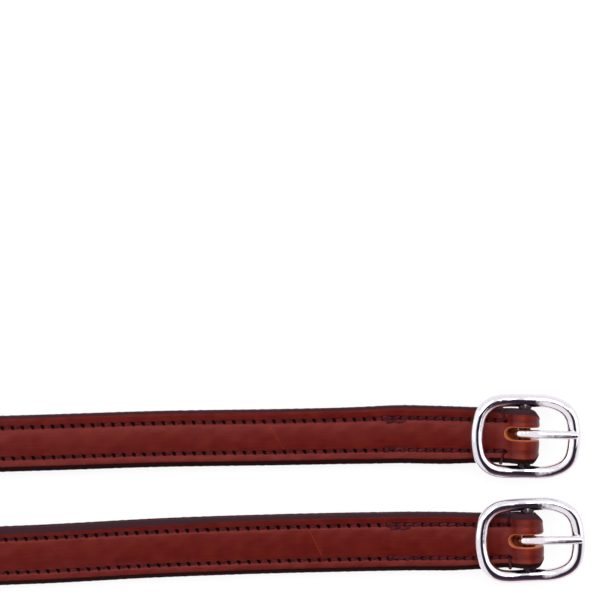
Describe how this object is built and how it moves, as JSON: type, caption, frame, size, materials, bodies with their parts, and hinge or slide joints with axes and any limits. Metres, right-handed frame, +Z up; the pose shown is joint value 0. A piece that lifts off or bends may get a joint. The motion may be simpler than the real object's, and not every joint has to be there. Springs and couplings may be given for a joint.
{
  "type": "spur straps",
  "caption": "Matching lined, edge-stitched leather spur straps with punched, pointed tails and polished oval centre-bar buckles whose frame and tongue pivot.",
  "frame": {"origin": "middle of the pair's footprint, on the surface the straps lie on", "axes": "+X along the straps towards the buckles, +Y across the straps to the straighter one, +Z up off the surface"},
  "size_m": [0.4218, 0.0465, 0.0085],
  "materials": {
    "bridle_leather": "oiled brown leather, semi-gloss",
    "lining_leather": "brown leather, flesh side out, matt",
    "waxed_thread": "dark brown waxed thread",
    "hand_thread": "dark brown waxed thread, thicker",
    "chrome_frame": "polished plate",
    "chrome_tongue": "polished plate"
  },
  "bodies": {
    "strap_1": {"outer_leather_1": "bridle_leather", "lining_leather_1": "lining_leather", "needle_thread_far_1": "waxed_thread", "needle_thread_near_1": "waxed_thread", "bobbin_thread_far_1": "waxed_thread", "bobbin_thread_near_1": "waxed_thread", "turnback_thread_far_1": "hand_thread", "turnback_thread_near_1": "hand_thread"},
    "frame_1": {"buckle_frame_1": "chrome_frame"},
    "tongue_1": {"buckle_tongue_1": "chrome_tongue"},
    "strap_2": {"outer_leather_2": "bridle_leather", "lining_leather_2": "lining_leather", "needle_thread_far_2": "waxed_thread", "needle_thread_near_2": "waxed_thread", "bobbin_thread_far_2": "waxed_thread", "bobbin_thread_near_2": "waxed_thread", "turnback_thread_far_2": "hand_thread", "turnback_thread_near_2": "hand_thread"},
    "frame_2": {"buckle_frame_2": "chrome_frame"},
    "tongue_2": {"buckle_tongue_2": "chrome_tongue"}
  },
  "joints": [
    {"name": "second_strap_lift", "type": "slide", "parent": "strap_1", "child": "strap_2", "axis": [0, 0, 1], "range_m": [0, 0.06]},
    {"name": "frame_pivot_1", "type": "hinge", "parent": "strap_1", "child": "frame_1", "pos_m": [0.1972, 0.0133, 0.0035], "axis": [0.0175, 0.9998, 0], "range_deg": [0, 100]},
    {"name": "tongue_pivot_1", "type": "hinge", "parent": "frame_1", "child": "tongue_1", "pos_m": [0.1972, 0.0133, 0.0035], "axis": [-0.0175, -0.9998, 0], "range_deg": [0, 105]},
    {"name": "frame_pivot_2", "type": "hinge", "parent": "strap_2", "child": "frame_2", "pos_m": [0.1982, -0.0109, 0.0035], "axis": [-0.0436, 0.999, 0], "range_deg": [0, 100]},
    {"name": "tongue_pivot_2", "type": "hinge", "parent": "frame_2", "child": "tongue_2", "pos_m": [0.1982, -0.0109, 0.0035], "axis": [0.0436, -0.999, 0], "range_deg": [0, 105]}
  ]
}
